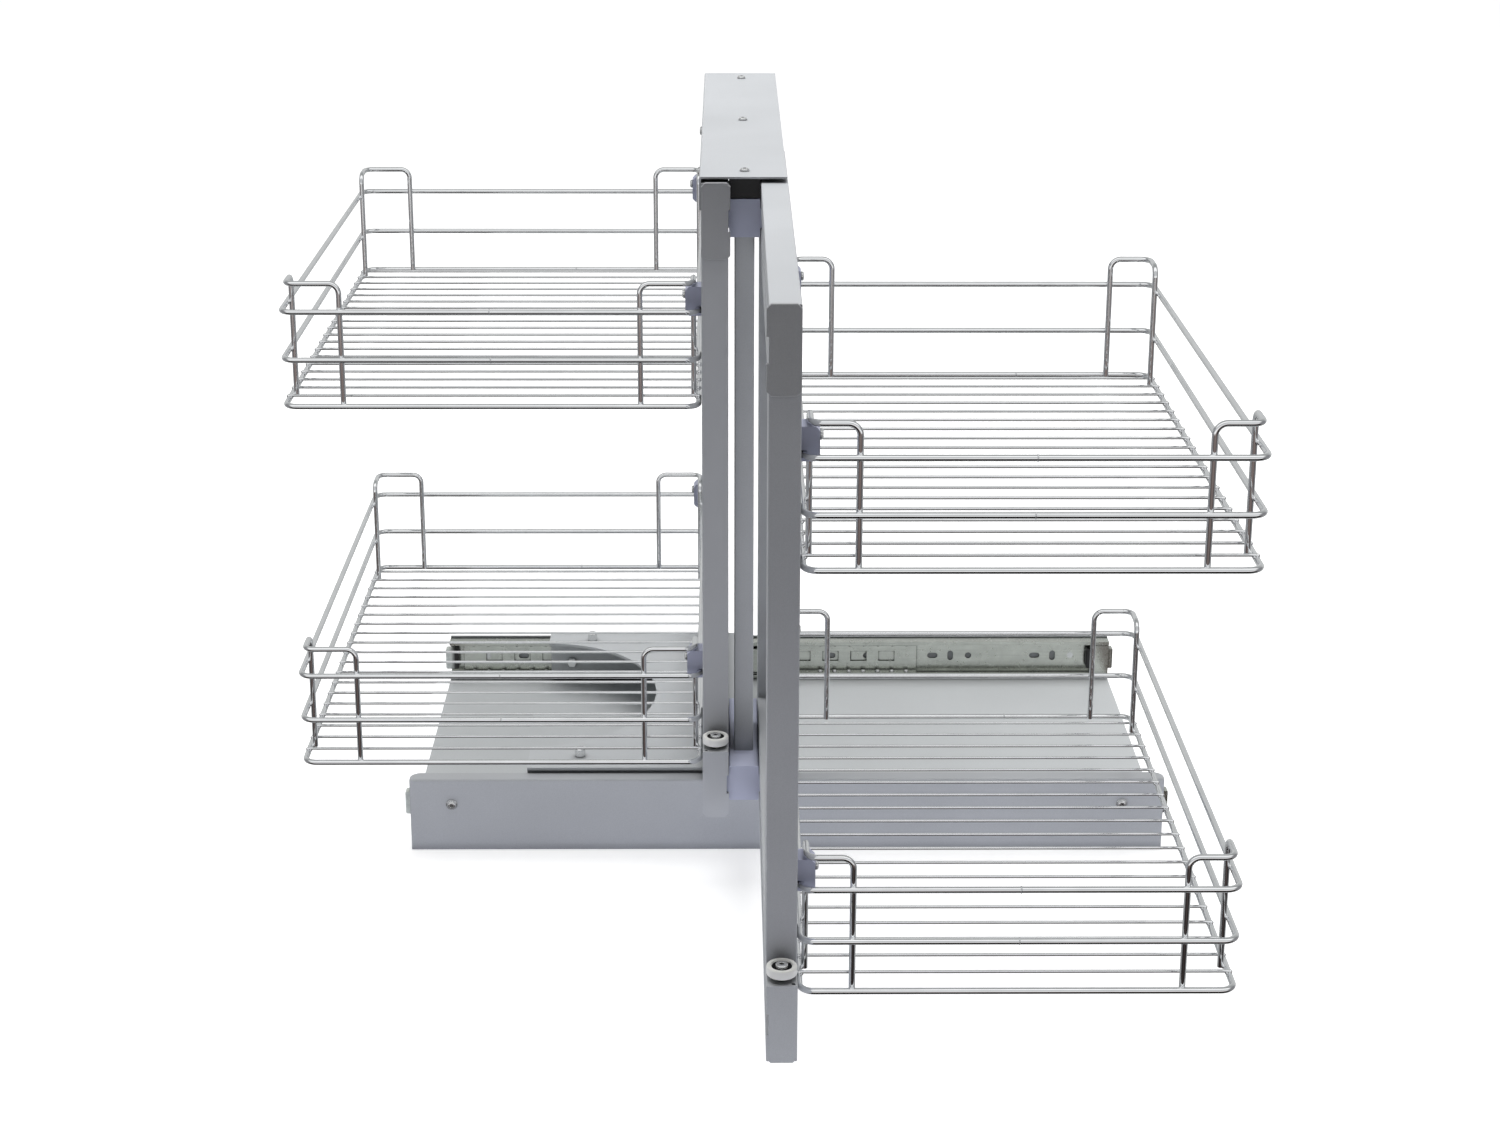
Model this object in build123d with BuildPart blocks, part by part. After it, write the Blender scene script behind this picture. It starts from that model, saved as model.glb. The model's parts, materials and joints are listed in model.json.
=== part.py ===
from build123d import *
import os

# Corner pull-out unit for a blind corner cabinet, shown with its front half drawn out.
# Origin: centre of the tray's underside. +X right, +Y into the cabinet, +Z up. Millimetres.

# Floor tray: apron, raised floor and upstand, on channels that stand on the cabinet's floor
TRAY_W = 642.0
TRAY_D = 342.0
TRAY_SHEET = 2.0
FLOOR_UNDER_SLIDE = 1.5
APRON_OVER_SLIDE = 4.5
APRON_FLANGE = 14.0
APRON_FLANGE_CORNER = 9.0
UPSTAND_OVER_SLIDE = 1.5
UPSTAND_FOOT = 14.0
SUPPORTS = 3
SUPPORT_W = 40.0
FLOOR_HOLE_R = 2.75
FLOOR_HOLE_INSETS = (36.0, 86.0)
ACCESS_HOLE_R = 7.0

# Ball slides between tray and carriage
SLIDE_H = 37.0
SLIDE_DEPTH = 14.0
SLIDE_Z = 42.0
SLIDE_SHEET = 1.5
SLIDE_LIP = 1.5
SLIDE_TRAVEL = 290.0
BALL_R = 2.5
BALL_PLAY = 0.05
BALL_PITCH = 14.0
BALLS_PER_GROUP = 7
CAGE_SHEET = 1.0
CAGE_GAP = 0.5
CAGE_INSET_LEFT = 13.0
CAGE_INSET_RIGHT = 42.0
CAGE_END_MARGIN = 10.0
WINDOW_L = 16.0
WINDOW_H = 10.5
WINDOW_PITCH = 27.4
RUNNER_L = 230.0
RUNNER_PROUD = 0.6
RAIL_BOLT_INSET = 36.0
RAIL_SLOT_L = 10.0
RAIL_SLOT_W = 5.5
RAIL_HOLE_PITCH = 17.5
RAIL_HOLE_GROUPS = 3
RAIL_GROUP_PITCH = 100.0
STOP_L = 16.0
STOP_CLEARANCE = 2.5
STOP_DEPTH = 11.0
BUMPER_OUT = 4.5
BUMPER_IN = 8.0
BUMPER_PAD = 5.5
BUMPER_H = 20.0
BUMPER_DEPTH = 9.0
BUMPER_ROUNDING = 1.5

# Carriage plate that runs on the slides
CARRIAGE_INSET = 99.0
CARRIAGE_W = 193.0
CARRIAGE_SHEET = 2.5
CARRIAGE_CLEAR = 2.5
CARRIAGE_OVERHANG = 3.0
CARRIAGE_EDGE_R = 0.5
CARRIAGE_FLANGE_CLEAR = 2.0
BITE_BRIDGE = 87.0
BITE_MARGIN = 33.4
BITE_Y = 8.0
STUD_R = 4.5
STUD_H = 8.0
STUD_CHAMFER = 1.0
REAR_STUD_INSET = (41.0, 16.4)
FRONT_STUD_INSET = (44.0, 21.4)
RUNNER_BOLT_INSET = 20.0

# The two upright frames: channel rails joined by rectangular posts
FRAME_T = 21.0
FRAME_L = 515.0
FRAME_GAP = 25.0
GAP_INSET = 8.5
REAR_FRAME_Y = -230.0
FRAMES_OVERLAP = 134.0
RAIL_H = 58.0
RAIL_WALL = 2.0
RAIL_OPENING = 16.0
FRAME_H = 520.0
TUBE_ROUNDING = 1.0
STUB_L = 25.0
STUB_CHAMFER = 3.0
POST_D = 46.0
CAP_FACE = 3.0
CAP_PLUG = 8.0
CAP_OVERHANG = 1.5
CAP_CHAMFER = 3.0
CAP_EXTRA_H = 2.0
CAP_EDGE_R = 0.6
CAP_NOTCH_H = 17.5
END_PLUG = 12.0
PLUG_PLAY = 0.1

# Middle column with its two plastic glide blocks
BLOCK_H = 30.0
TOP_BLOCK_SETBACK = 9.5
BOTTOM_BLOCK_SETBACK = 3.0
BLOCK_BACK_GAP = 2.5
BLOCK_HEAD_ROUNDING = 1.5
GLIDE_PLAY = 0.4
SIDE_PLAY = 0.5
COLUMN_W = 15.5
COLUMN_D = 60.0
COLUMN_WALL = 2.0
COLUMN_END = 5.0
COLUMN_SCREW_INSET = 15.0

# Cover over both top rails, with the guide strip below it
COVER_SHEET = 1.5
COVER_GAP = 3.0
COVER_SETBACK = 3.0
COVER_RIGHT_INSET = 1.0
COVER_FLANGE_H = 26.0
COVER_RIVETS = 3
COVER_RIVET_FRONT_INSET = 24.0
COVER_RIVET_BACK_INSET = 32.0
COVER_RIVET_DEPTH = 10.0
COVER_SCREWS_IN = (102.0, 287.0)
COVER_SCREW_DOWN = 15.6
GUIDE_STRIP_CLEAR = 1.0
GUIDE_STRIP_SETBACK = 10.0

# Guide rollers on the stubs
ROLLER_R = 10.5
ROLLER_H = 6.5
ROLLER_INSET = 12.0
ROLLER_ROUNDING = 1.0
ROLLER_BEARING_R = 7.0
ROLLER_BEARING_SINK = 0.75
ROLLER_SPACER_R = 6.0
ROLLER_SPACER_H = 3.0
ROLLER_SPACER_ROUNDING = 0.5
ROLLER_PLAY = 0.05
PIN_HOLE_R = 1.4

# Wire baskets, measured on the wires' centre lines
WIRE_R = 2.25
FLOOR_WIRE_R = 1.15
FRONT_BASKET_W = 300.0
REAR_BASKET_W = 328.0
BASKET_CORNER_R = 10.0
RING_LEVELS = (0.0, 38.0, 77.0)
LOOP_TOP = 99.0
LOOP_BEND_R = 8.0
FRONT_BASKET_LEG = 36.0
REAR_BASKET_LEG = 46.0
SIDE_LEG = 33.5
FLOOR_WIRE_PITCH = 24.0
FLOOR_WIRE_INSET = 20.0
WELD = 0.4
LOWER_TIER_UP = 29.0
UPPER_TIER_DOWN = 183.5
BASKET_SETBACK = 20.0
BASKET_GAP = 0.5

# Clips that hold the baskets on the posts
CLIP_T = 13.0
CLIP_W = 17.0
CLIP_BELOW = 5.0
CLIP_ABOVE = 18.5
CLIP_CHAMFER = 3.0
CLIP_PLAY = 0.3
CLIP_OVER_BEND = 1.5
CLIP_SCREW_UP = 11.0

# Fasteners: shank radius, head radius, head height, and their heads' details as shares of it
M4 = (2.0, 3.8, 2.4)
M5 = (2.5, 4.4, 3.0)
M6 = (3.0, 5.0, 4.0)
ROLLER_AXLE = (3.0, 4.2, 1.6)
THREAD_PLAY = 0.05
HEX_CHAMFER = 0.15
HEAD_ROUNDING = 0.6
SOCKET_R = 0.75
SOCKET_DEPTH = 0.5
FRAME_SCREWS = 4
FRAME_SCREW_INSET = 24.4

# Places worked out from the sizes above
FLOOR_TOP = SLIDE_Z - SLIDE_H / 2 - FLOOR_UNDER_SLIDE
APRON_H = SLIDE_Z + SLIDE_H / 2 + APRON_OVER_SLIDE
UPSTAND_H = SLIDE_Z + SLIDE_H / 2 + UPSTAND_OVER_SLIDE
RAIL_BOLT_X = TRAY_W / 2 - RAIL_BOLT_INSET
CARRIAGE_TOP = APRON_H + CARRIAGE_CLEAR + CARRIAGE_SHEET
CARRIAGE_LEFT_X = CARRIAGE_INSET - TRAY_W / 2
CARRIAGE_RIGHT_X = CARRIAGE_LEFT_X + CARRIAGE_W
GAP_CENTRE_X = CARRIAGE_RIGHT_X - GAP_INSET
REAR_X0 = GAP_CENTRE_X - FRAME_GAP / 2 - FRAME_T
FRONT_X0 = GAP_CENTRE_X + FRAME_GAP / 2
FRONT_FRAME_Y = REAR_FRAME_Y - FRAME_L + FRAMES_OVERLAP
FRAME_BOTTOM = CARRIAGE_TOP
FRAME_TOP = FRAME_BOTTOM + FRAME_H
BOTTOM_RAIL_Z = FRAME_BOTTOM + RAIL_H / 2
TOP_RAIL_Z = FRAME_TOP - RAIL_H / 2
POST_BOTTOM = FRAME_BOTTOM + RAIL_H
POST_TOP = FRAME_TOP - RAIL_H
BASKET_D = FRAME_L - 2 * BASKET_SETBACK
TIER_LEVELS = (FRAME_BOTTOM + LOWER_TIER_UP, FRAME_TOP - UPPER_TIER_DOWN)
FLANGE_REACH = SLIDE_DEPTH + RUNNER_PROUD
CARRIAGE_D = TRAY_D - 2 * TRAY_SHEET - 2 * FLANGE_REACH
CAGE_LEFT_X = CAGE_INSET_LEFT - TRAY_W / 2
CAGE_L = TRAY_W - SLIDE_TRAVEL / 2 - CAGE_INSET_LEFT - CAGE_INSET_RIGHT
BALL_LINE = SLIDE_H / 2 - SLIDE_SHEET - BALL_PLAY - BALL_R
RUNNER_H = 2 * (BALL_LINE - BALL_R - BALL_PLAY)
STOP_H = SLIDE_H - 2 * (SLIDE_SHEET + STOP_CLEARANCE)
CAGE_WEB_U = SLIDE_SHEET + CAGE_GAP
RUNNER_BACK_U = CAGE_WEB_U + CAGE_SHEET + CAGE_GAP

os.makedirs("parts", exist_ok=True)


def save(part, name):
    part.label = name
    export_step(part, f"parts/{name}.step")


def save_group(parts, name):
    with BuildPart() as group:
        add(parts)
    save(group.part, name)


def screw(plane, kind, length, hexagonal=False):
    """The head stands on the plane and the shank runs down from it."""
    shank_r, head_r, head_h = kind
    with BuildPart() as fastener:
        with BuildSketch(plane):
            if hexagonal:
                RegularPolygon(head_r, 6)
            else:
                Circle(head_r)
        extrude(amount=head_h)
        crown = fastener.faces().sort_by(Axis(plane.origin, plane.z_dir))[-1]
        if hexagonal:
            chamfer(crown.edges(), head_h * HEX_CHAMFER)
        else:
            fillet(crown.edges(), head_h * HEAD_ROUNDING)
            with BuildSketch(plane.offset(head_h)):
                RegularPolygon(shank_r * SOCKET_R, 6)
            extrude(amount=-head_h * SOCKET_DEPTH, mode=Mode.SUBTRACT)
        with BuildSketch(plane):
            Circle(shank_r)
        extrude(amount=-length)
    return fastener.part


def evenly(first, last, count):
    """Places at equal steps from first to last."""
    step = (last - first) / (count - 1)
    return [first + n * step for n in range(count)]


# Floor tray: front apron with its top flange, rear upstand with a foot, floor sheet between them
def along_x(y):
    """A plane across the X axis at the tray's left end, its origin at y on the cabinet's floor."""
    return Plane(origin=(-TRAY_W / 2, y, 0), x_dir=(0, 1, 0), z_dir=(1, 0, 0))


def rail_bolt_holes(y):
    """The two holes for the slide's bolts, through whatever stands within a bend's width of y."""
    with BuildSketch(Plane.XZ.offset(-y)) as holes:
        with Locations((-RAIL_BOLT_X, SLIDE_Z), (RAIL_BOLT_X, SLIDE_Z)):
            Circle(M6[0] + THREAD_PLAY)
    extrude(holes.sketch, amount=2 * TRAY_SHEET, both=True, mode=Mode.SUBTRACT)


with BuildPart() as base_apron:
    with BuildSketch(along_x(-TRAY_D / 2)):
        Rectangle(TRAY_SHEET, APRON_H, align=Align.MIN)
        with Locations((0, APRON_H - TRAY_SHEET)):
            Rectangle(APRON_FLANGE, TRAY_SHEET, align=Align.MIN)
    extrude(amount=TRAY_W)
    fillet(base_apron.edges().filter_by(Axis.X).group_by(Axis.Y)[0].sort_by(Axis.Z)[-1], TRAY_SHEET)
    flange_back_y = -TRAY_D / 2 + APRON_FLANGE
    flange_corners = base_apron.edges().filter_by(Axis.Z)
    flange_corners = flange_corners.filter_by_position(Axis.Y, flange_back_y - 0.1, flange_back_y + 0.1)
    fillet(flange_corners, APRON_FLANGE_CORNER)
    rail_bolt_holes(-TRAY_D / 2)
save(base_apron.part, "base_apron")

with BuildPart() as base_upstand:
    with BuildSketch(along_x(TRAY_D / 2)):
        Rectangle(TRAY_SHEET, UPSTAND_H, align=(Align.MAX, Align.MIN))
        Rectangle(UPSTAND_FOOT, TRAY_SHEET, align=(Align.MAX, Align.MIN))
    extrude(amount=TRAY_W)
    fillet(base_upstand.edges().filter_by(Axis.X).group_by(Axis.Y)[-1].sort_by(Axis.Z)[0], TRAY_SHEET)
    rail_bolt_holes(TRAY_D / 2)
save(base_upstand.part, "base_upstand")

support_xs = evenly((SUPPORT_W - TRAY_W) / 2, (TRAY_W - SUPPORT_W) / 2, SUPPORTS)
floor_hole_ys = [inset - TRAY_D / 2 for inset in FLOOR_HOLE_INSETS]
with BuildPart() as base_floor:
    with BuildSketch(Plane.XY.offset(FLOOR_TOP)):
        Rectangle(TRAY_W, TRAY_D - 2 * TRAY_SHEET)
        with Locations([(x, y) for x in (support_xs[0], support_xs[-1]) for y in floor_hole_ys]):
            Circle(ACCESS_HOLE_R, mode=Mode.SUBTRACT)
    extrude(amount=-TRAY_SHEET)
save(base_floor.part, "base_floor")


def support(x, holed):
    """A channel under the floor, its web on the cabinet's floor. The end ones are holed for screws."""
    height = FLOOR_TOP - TRAY_SHEET
    with BuildPart() as channel_part:
        with BuildSketch(Plane.XZ.offset(TRAY_D / 2 - TRAY_SHEET)):
            with Locations((x, 0)):
                Rectangle(SUPPORT_W, height, align=(Align.CENTER, Align.MIN))
            with Locations((x, TRAY_SHEET)):
                inner_w = SUPPORT_W - 2 * TRAY_SHEET
                Rectangle(inner_w, height, align=(Align.CENTER, Align.MIN), mode=Mode.SUBTRACT)
        extrude(amount=-(TRAY_D - TRAY_SHEET - UPSTAND_FOOT))
        fillet(channel_part.edges().filter_by(Axis.Y).group_by(Axis.Z)[0], TRAY_SHEET)
        if holed:
            with BuildSketch(Plane.XY):
                with Locations([(x, y) for y in floor_hole_ys]):
                    Circle(FLOOR_HOLE_R)
            extrude(amount=TRAY_SHEET, mode=Mode.SUBTRACT)
    return channel_part.part


supports = [support(x, x in (support_xs[0], support_xs[-1])) for x in support_xs]
save_group(supports, "base_supports")


# Ball slides. Depth is counted from the face of the tray's wall towards the carriage.
def depth_y(end, depth):
    """Y at a depth from the tray's front wall (end -1) or rear wall (end 1)."""
    return end * (TRAY_D / 2 - TRAY_SHEET - depth)


def slide_bar(end, depth_0, depth_1, height_0, height_1):
    """A rectangle of the slide's section, between two depths and two heights."""
    mid_y = depth_y(end, (depth_0 + depth_1) / 2)
    with Locations((mid_y, SLIDE_Z + (height_0 + height_1) / 2)):
        Rectangle(depth_1 - depth_0, height_1 - height_0)


def slide_rail(end):
    """Groups of a round hole, an upright slot and a lengthways slot follow inward from its bolts."""
    edge = SLIDE_H / 2
    inner = edge - SLIDE_SHEET
    with BuildPart() as rail:
        with BuildSketch(Plane.YZ.offset(-TRAY_W / 2)):
            slide_bar(end, 0, SLIDE_SHEET, -edge, edge)
            for side in (-1, 1):
                low, high = sorted((side * inner, side * edge))
                slide_bar(end, 0, SLIDE_DEPTH, low, high)
                low, high = sorted((side * (inner - SLIDE_LIP), side * inner))
                slide_bar(end, SLIDE_DEPTH - SLIDE_SHEET, SLIDE_DEPTH, low, high)
        extrude(amount=TRAY_W)
        group_xs = [RAIL_BOLT_X - n * RAIL_GROUP_PITCH for n in range(RAIL_HOLE_GROUPS)]
        with BuildSketch(Plane.XZ.offset(-depth_y(end, SLIDE_SHEET / 2))):
            for side in (-1, 1):
                with Locations([(side * x, SLIDE_Z) for x in group_xs]):
                    Circle(M6[0] + THREAD_PLAY)
                with Locations([(side * (x - RAIL_HOLE_PITCH), SLIDE_Z) for x in group_xs]):
                    SlotOverall(RAIL_SLOT_L, RAIL_SLOT_W, rotation=90)
                with Locations([(side * (x - 2 * RAIL_HOLE_PITCH), SLIDE_Z) for x in group_xs]):
                    SlotOverall(RAIL_SLOT_L, RAIL_SLOT_W)
        extrude(amount=SLIDE_SHEET, both=True, mode=Mode.SUBTRACT)
    return rail.part


def ball_places(end):
    """Three groups of balls in each of the two rows of a cage."""
    group_l = (BALLS_PER_GROUP - 1) * BALL_PITCH
    starts = (CAGE_LEFT_X + CAGE_END_MARGIN,
              CAGE_LEFT_X + (CAGE_L - group_l) / 2,
              CAGE_LEFT_X + CAGE_L - CAGE_END_MARGIN - group_l)
    ball_depth = (RUNNER_BACK_U + SLIDE_DEPTH - SLIDE_SHEET) / 2
    places = []
    for start in starts:
        for index in range(BALLS_PER_GROUP):
            for side in (-1, 1):
                x = start + index * BALL_PITCH
                places.append((x, depth_y(end, ball_depth), SLIDE_Z + side * BALL_LINE))
    return places


def slide_cage(end):
    low = BALL_LINE - CAGE_SHEET / 2
    high = BALL_LINE + CAGE_SHEET / 2
    window_count = int((CAGE_L - WINDOW_PITCH) / WINDOW_PITCH)
    first = CAGE_LEFT_X + CAGE_L / 2 - (window_count - 1) * WINDOW_PITCH / 2
    with BuildPart() as cage:
        with BuildSketch(Plane.YZ.offset(CAGE_LEFT_X)):
            slide_bar(end, CAGE_WEB_U, CAGE_WEB_U + CAGE_SHEET, -high, high)
            slide_bar(end, CAGE_WEB_U, SLIDE_DEPTH - SLIDE_SHEET - CAGE_GAP, low, high)
            slide_bar(end, CAGE_WEB_U, SLIDE_DEPTH - SLIDE_SHEET - CAGE_GAP, -high, -low)
        extrude(amount=CAGE_L)
        with BuildSketch(Plane.XZ.offset(-depth_y(end, CAGE_WEB_U + CAGE_SHEET / 2))):
            with Locations([(first + n * WINDOW_PITCH, SLIDE_Z) for n in range(window_count)]):
                Rectangle(WINDOW_L, WINDOW_H)
        extrude(amount=CAGE_SHEET, both=True, mode=Mode.SUBTRACT)
        with Locations(ball_places(end)):
            Cylinder(BALL_R + BALL_PLAY, 2 * CAGE_SHEET, mode=Mode.SUBTRACT)
    return cage.part


def slide_balls(end):
    with BuildPart() as balls:
        with Locations(ball_places(end)):
            Sphere(BALL_R)
    return balls.part


def runner_bolt_places():
    return (CARRIAGE_LEFT_X + RUNNER_BOLT_INSET, CARRIAGE_RIGHT_X - RUNNER_BOLT_INSET)


def slide_runner(end):
    edge = RUNNER_H / 2
    inner = edge - SLIDE_SHEET
    with BuildPart() as runner:
        with BuildSketch(Plane.YZ.offset(CARRIAGE_LEFT_X)):
            slide_bar(end, FLANGE_REACH - SLIDE_SHEET, FLANGE_REACH, -edge, edge)
            slide_bar(end, RUNNER_BACK_U, FLANGE_REACH, inner, edge)
            slide_bar(end, RUNNER_BACK_U, FLANGE_REACH, -edge, -inner)
        extrude(amount=RUNNER_L)
        with BuildSketch(Plane.XZ.offset(-depth_y(end, FLANGE_REACH))):
            with Locations([(x, SLIDE_Z) for x in runner_bolt_places()]):
                Circle(M6[0] + THREAD_PLAY)
        extrude(amount=SLIDE_SHEET * 2, both=True, mode=Mode.SUBTRACT)
    return runner.part


def end_stop(end):
    """Steel block in the right end of a slide rail, with a rounded nose past the end."""
    with BuildPart() as stop:
        with BuildSketch(Plane.YZ.offset(TRAY_W / 2 - STOP_L)):
            slide_bar(end, SLIDE_SHEET, SLIDE_SHEET + STOP_DEPTH, -STOP_H / 2, STOP_H / 2)
        extrude(amount=STOP_L)
        with BuildSketch(Plane.YZ.offset(TRAY_W / 2)):
            slide_bar(end, SLIDE_SHEET, SLIDE_SHEET + BUMPER_DEPTH, -BUMPER_H / 2, BUMPER_H / 2)
        extrude(amount=BUMPER_OUT)
        fillet(stop.faces().sort_by(Axis.X)[-1].edges(), BUMPER_ROUNDING)
    return stop.part


def bumper(end, start_x, length):
    """Rubber pad across the inside of a slide rail, running left from start_x to a rounded face."""
    with BuildPart() as pad:
        with BuildSketch(Plane.YZ.offset(start_x)):
            slide_bar(end, SLIDE_SHEET, SLIDE_SHEET + BUMPER_DEPTH, -BUMPER_H / 2, BUMPER_H / 2)
        extrude(amount=-length)
        fillet(pad.faces().sort_by(Axis.X)[0].edges(), BUMPER_ROUNDING)
    return pad.part


for end, place in ((-1, "front"), (1, "rear")):
    save(slide_rail(end), f"{place}_slide_rail")
    save(slide_cage(end), f"{place}_slide_cage")
    save(slide_balls(end), f"{place}_slide_balls")
    save(slide_runner(end), f"{place}_slide_runner")
save_group([end_stop(end) for end in (-1, 1)], "slide_end_stops")
left_bumpers = [bumper(end, BUMPER_IN - TRAY_W / 2, BUMPER_IN + BUMPER_OUT) for end in (-1, 1)]
right_bumpers = [bumper(end, TRAY_W / 2 - STOP_L, BUMPER_PAD) for end in (-1, 1)]
save_group(left_bumpers + right_bumpers, "slide_bumpers")

# Bolts through the tray's walls into the slide rails, their heads outside
for end, name in ((-1, "apron_bolts"), (1, "upstand_bolts")):
    bolts = []
    for x in (-RAIL_BOLT_X, RAIL_BOLT_X):
        spot = Plane(origin=(x, end * TRAY_D / 2, SLIDE_Z), x_dir=(1, 0, 0), z_dir=(0, end, 0))
        bolts.append(screw(spot, M6, TRAY_SHEET + SLIDE_SHEET, hexagonal=True))
    save_group(bolts, name)

# Carriage: a plate with a rounded bite from its left edge, and a flange down to each runner
frame_screw_x = REAR_X0 + FRAME_T / 2
frame_screw_end = CARRIAGE_D / 2 - FRAME_SCREW_INSET
frame_screw_ys = evenly(-frame_screw_end, frame_screw_end, FRAME_SCREWS)
rear_stud = (CARRIAGE_LEFT_X + REAR_STUD_INSET[0], CARRIAGE_D / 2 - REAR_STUD_INSET[1])
front_stud = (CARRIAGE_LEFT_X + FRONT_STUD_INSET[0], FRONT_STUD_INSET[1] - CARRIAGE_D / 2)
with BuildPart() as carriage_plate:
    with BuildSketch(Plane.YZ.offset(CARRIAGE_LEFT_X)):
        with Locations((0, CARRIAGE_TOP - CARRIAGE_SHEET / 2)):
            Rectangle(CARRIAGE_D + 2 * CARRIAGE_OVERHANG, CARRIAGE_SHEET)
        flange_h = CARRIAGE_TOP - FLOOR_TOP - CARRIAGE_FLANGE_CLEAR
        for end in (-1, 1):
            with Locations((end * (CARRIAGE_D - CARRIAGE_SHEET) / 2, CARRIAGE_TOP - flange_h / 2)):
                Rectangle(CARRIAGE_SHEET, flange_h)
    extrude(amount=CARRIAGE_W)
    fillet(carriage_plate.edges().filter_by(Axis.X).group_by(Axis.Z)[-1], CARRIAGE_EDGE_R)
    with BuildSketch(Plane.XY.offset(CARRIAGE_TOP)):
        with Locations((CARRIAGE_LEFT_X, BITE_Y)):
            Ellipse(CARRIAGE_W - BITE_BRIDGE, CARRIAGE_D / 2 - BITE_MARGIN)
        with Locations(rear_stud, front_stud):
            Circle(M6[0] + THREAD_PLAY)
        with Locations([(frame_screw_x, y) for y in frame_screw_ys]):
            Circle(M6[0] + THREAD_PLAY)
    extrude(amount=-2 * CARRIAGE_SHEET, mode=Mode.SUBTRACT)
    with BuildSketch(Plane.XZ.offset(-CARRIAGE_D / 2)):
        with Locations([(x, SLIDE_Z) for x in runner_bolt_places()]):
            Circle(M6[0] + THREAD_PLAY)
    extrude(amount=-CARRIAGE_D, both=True, mode=Mode.SUBTRACT)
save(carriage_plate.part, "carriage_plate")

runner_bolts = []
for end in (-1, 1):
    for x in runner_bolt_places():
        flange_face = end * (CARRIAGE_D / 2 - CARRIAGE_SHEET)
        plane = Plane(origin=(x, flange_face, SLIDE_Z), x_dir=(1, 0, 0), z_dir=(0, -end, 0))
        runner_bolts.append(screw(plane, M6, CARRIAGE_SHEET + SLIDE_SHEET, hexagonal=True))
save_group(runner_bolts, "runner_bolts")


def carriage_stud(x, y):
    with BuildPart() as stud:
        with BuildSketch(Plane.XY.offset(CARRIAGE_TOP)):
            with Locations((x, y)):
                Circle(STUD_R)
        extrude(amount=STUD_H)
        chamfer(stud.faces().sort_by(Axis.Z)[-1].edges(), STUD_CHAMFER)
        with BuildSketch(Plane.XY.offset(CARRIAGE_TOP)):
            with Locations((x, y)):
                Circle(M6[0])
        extrude(amount=-CARRIAGE_SHEET)
    return stud.part


save_group([carriage_stud(*rear_stud), carriage_stud(*front_stud)], "carriage_studs")


# The cover's height and front, and its side screws, which the rear frame is holed for
cover_z = FRAME_TOP + COVER_GAP
cover_y0 = REAR_FRAME_Y + COVER_SETBACK
cover_screw_z = cover_z + COVER_SHEET - COVER_SCREW_DOWN
cover_screw_ys = [cover_y0 + inset for inset in COVER_SCREWS_IN]


# Frames. Side is the way the channels open: 1 for the rear frame, -1 for the front frame.
def channel(x0, y0, length, z_mid, side):
    mid_x = x0 + FRAME_T / 2
    with BuildPart() as rail:
        with BuildSketch(Plane.XZ.offset(-y0)):
            with Locations((mid_x, z_mid)):
                RectangleRounded(FRAME_T, RAIL_H, TUBE_ROUNDING)
                Rectangle(FRAME_T - 2 * RAIL_WALL, RAIL_H - 2 * RAIL_WALL, mode=Mode.SUBTRACT)
            with Locations((mid_x + side * (FRAME_T - RAIL_WALL) / 2, z_mid)):
                Rectangle(RAIL_WALL, RAIL_OPENING, mode=Mode.SUBTRACT)
        extrude(amount=-length)
    return rail.part


def top_rail(x0, y0, side, fixed):
    """The top channel. The fixed frame's one is holed for the cover's side screws."""
    blank = channel(x0, y0, FRAME_L, TOP_RAIL_Z, side)
    with BuildPart() as rail:
        add(blank)
        if fixed:
            with BuildSketch(Plane.YZ.offset(x0)):
                with Locations([(y, cover_screw_z) for y in cover_screw_ys]):
                    Circle(M4[0] + THREAD_PLAY)
            extrude(amount=RAIL_WALL, mode=Mode.SUBTRACT)
    return rail.part


def bottom_rail(x0, y0, side, fixed):
    """The bottom channel, closed at its forward stub, which carries the guide roller."""
    stub_y = y0 - STUB_L
    mid_x = x0 + FRAME_T / 2
    gap_x = mid_x + side * FRAME_T / 2
    blank = channel(x0, stub_y, FRAME_L + STUB_L, BOTTOM_RAIL_Z, side)
    with BuildPart() as rail:
        add(blank)
        with BuildSketch(Plane.XZ.offset(-stub_y)):
            with Locations((mid_x, BOTTOM_RAIL_Z)):
                RectangleRounded(FRAME_T, RAIL_H, TUBE_ROUNDING)
            with Locations((gap_x, BOTTOM_RAIL_Z)):
                Rectangle(2 * CAP_OVERHANG, CAP_NOTCH_H, mode=Mode.SUBTRACT)
        extrude(amount=-RAIL_WALL)
        with BuildSketch(Plane.XZ.offset(-stub_y)):
            for corner in (-1, 1):
                with Locations((mid_x + corner * FRAME_T / 2, FRAME_BOTTOM)):
                    Rectangle(STUB_CHAMFER * 2 ** 0.5, STUB_CHAMFER * 2 ** 0.5, rotation=45)
        extrude(amount=-RAIL_WALL, mode=Mode.SUBTRACT)
        with BuildSketch(Plane.XY.offset(POST_BOTTOM)):
            with Locations((mid_x, stub_y + ROLLER_INSET)):
                Circle(ROLLER_AXLE[0] + THREAD_PLAY)
            with Locations((mid_x - side * (FRAME_T / 2 - 2 * PIN_HOLE_R), stub_y + 2 * PIN_HOLE_R)):
                Circle(PIN_HOLE_R)
        extrude(amount=-RAIL_WALL, mode=Mode.SUBTRACT)
        if fixed:
            with BuildSketch(Plane.XY.offset(FRAME_BOTTOM)):
                with Locations([(mid_x, y) for y in frame_screw_ys]):
                    Circle(M6[0] + THREAD_PLAY)
            extrude(amount=RAIL_WALL, mode=Mode.SUBTRACT)
    return rail.part


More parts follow.
